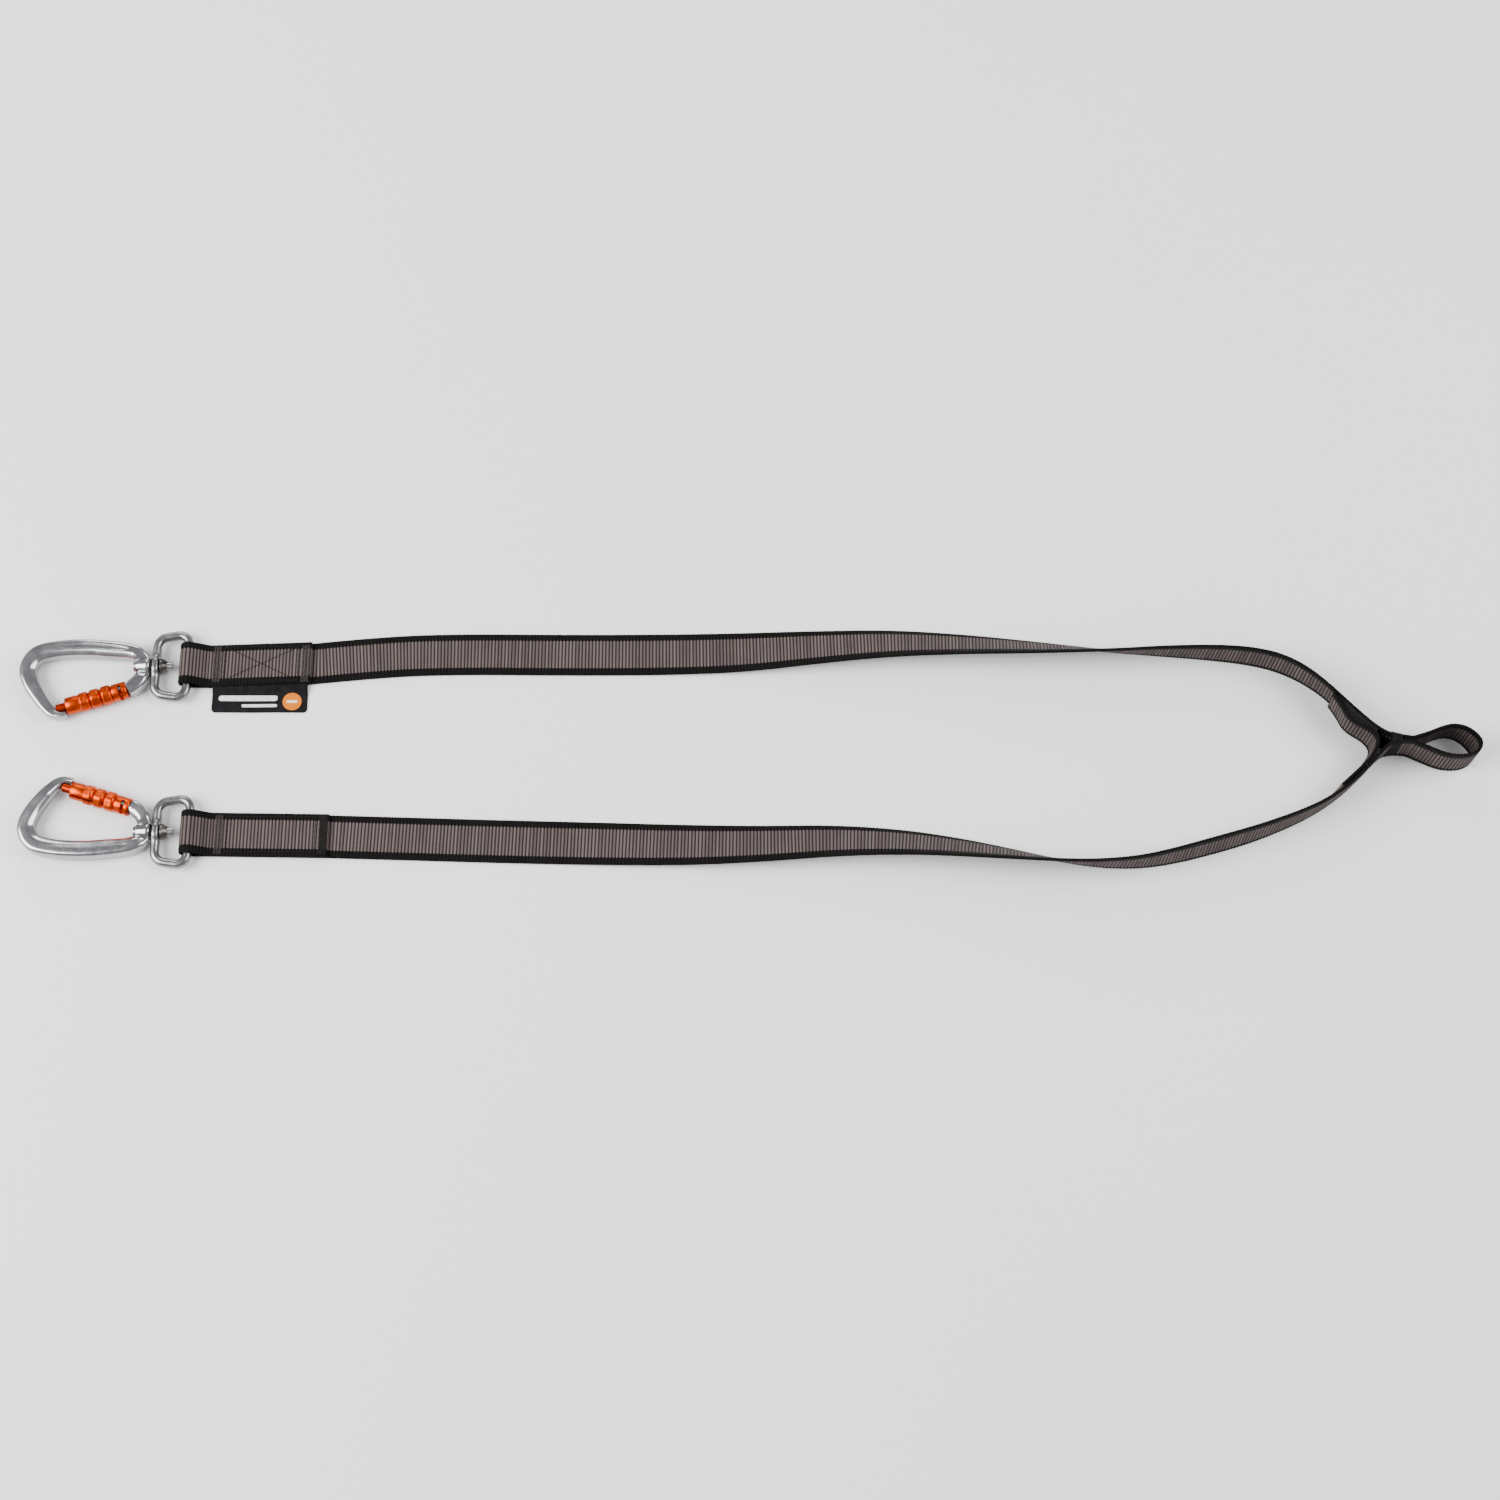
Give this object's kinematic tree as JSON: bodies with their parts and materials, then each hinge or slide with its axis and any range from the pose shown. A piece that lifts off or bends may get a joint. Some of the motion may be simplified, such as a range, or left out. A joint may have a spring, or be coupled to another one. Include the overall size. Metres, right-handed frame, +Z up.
{
  "type": "two-dog lead coupler",
  "caption": "Lead coupler with flat webbing arms, swivel D-rings, twist-lock carabiners and a sewn attachment loop.",
  "frame": {"origin": "middle of the layout, on the surface it lies on", "axes": "+X along the lead from the carabiners to the attachment loop, +Z up"},
  "size_m": [0.7492, 0.1338, 0.0231],
  "materials": {
    "forged_aluminium": "satin polished, forged",
    "satin_steel": "satin",
    "plated_steel": "nickel plated",
    "spring_steel": "drawn wire",
    "orange_anodised": "gloss anodised aluminium",
    "webbing": "ribbed woven webbing, grey with black edges",
    "thread": "bonded thread",
    "label_fabric": "woven label"
  },
  "bodies": {
    "lead": {"ring_fold_a": "webbing", "ring_fold_b": "webbing", "webbing_arm_a": "webbing", "webbing_arm_b": "webbing", "handle_loop": "webbing", "throat_reinforcement": "webbing", "ring_stitching_a": "thread", "ring_stitching_b": "thread", "throat_stitching": "thread", "label_tag": "label_fabric"},
    "ring_a": {"swivel_ring_a": "satin_steel"},
    "carabiner_a": {"carabiner_frame_a": "forged_aluminium", "swivel_rivet_a": "plated_steel", "swivel_washer_a": "plated_steel", "swivel_collar_a": "plated_steel", "gate_hinge_pin_a": "plated_steel"},
    "gate_a": {"gate_barrel_a": "orange_anodised", "gate_spring_a": "spring_steel", "guide_pin_a": "plated_steel", "sleeve_spring_a": "spring_steel"},
    "sleeve_a": {"lock_sleeve_a": "orange_anodised"},
    "ring_b": {"swivel_ring_b": "satin_steel"},
    "carabiner_b": {"carabiner_frame_b": "forged_aluminium", "swivel_rivet_b": "plated_steel", "swivel_washer_b": "plated_steel", "swivel_collar_b": "plated_steel", "gate_hinge_pin_b": "plated_steel"},
    "gate_b": {"gate_barrel_b": "orange_anodised", "gate_spring_b": "spring_steel", "guide_pin_b": "plated_steel", "sleeve_spring_b": "spring_steel"},
    "sleeve_b": {"lock_sleeve_b": "orange_anodised"}
  },
  "joints": [
    {"name": "ring_swing_a", "type": "hinge", "parent": "lead", "child": "ring_a", "pos_m": [-0.2879, 0.04455, 0.00527], "axis": [0, 1, 0], "range_deg": [-90, 90]},
    {"name": "swivel_a", "type": "hinge", "parent": "ring_a", "child": "carabiner_a", "pos_m": [-0.3044, 0.04455, 0.00527], "axis": [1, 0, 0], "continuous": true},
    {"name": "gate_a", "type": "hinge", "parent": "carabiner_a", "child": "gate_a", "pos_m": [-0.3155, 0.03255, 0.00527], "axis": [0, 0, -1], "range_deg": [0, 27], "stiffness_Nm_per_rad": 0.05, "springref_deg": -20.05},
    {"name": "sleeve_twist_a", "type": "hinge", "parent": "gate_a", "child": "sleeve_a", "pos_m": [-0.3155, 0.03255, 0.00527], "axis": [-0.9542, -0.299, 0], "range_deg": [0, 90], "stiffness_Nm_per_rad": 0.01, "springref_deg": -28.65},
    {"name": "ring_swing_b", "type": "hinge", "parent": "lead", "child": "ring_b", "pos_m": [-0.2807, -0.04565, 0.00527], "axis": [0, 1, 0], "range_deg": [-90, 90]},
    {"name": "swivel_b", "type": "hinge", "parent": "ring_b", "child": "carabiner_b", "pos_m": [-0.2972, -0.04565, 0.00527], "axis": [1, 0, 0], "continuous": true},
    {"name": "gate_b", "type": "hinge", "parent": "carabiner_b", "child": "gate_b", "pos_m": [-0.3083, -0.03365, 0.00527], "axis": [0, 0, 1], "range_deg": [0, 27], "stiffness_Nm_per_rad": 0.05, "springref_deg": -20.05},
    {"name": "sleeve_twist_b", "type": "hinge", "parent": "gate_b", "child": "sleeve_b", "pos_m": [-0.3083, -0.03365, 0.00527], "axis": [-0.9542, 0.299, 0], "range_deg": [0, 90], "stiffness_Nm_per_rad": 0.01, "springref_deg": -28.65}
  ]
}
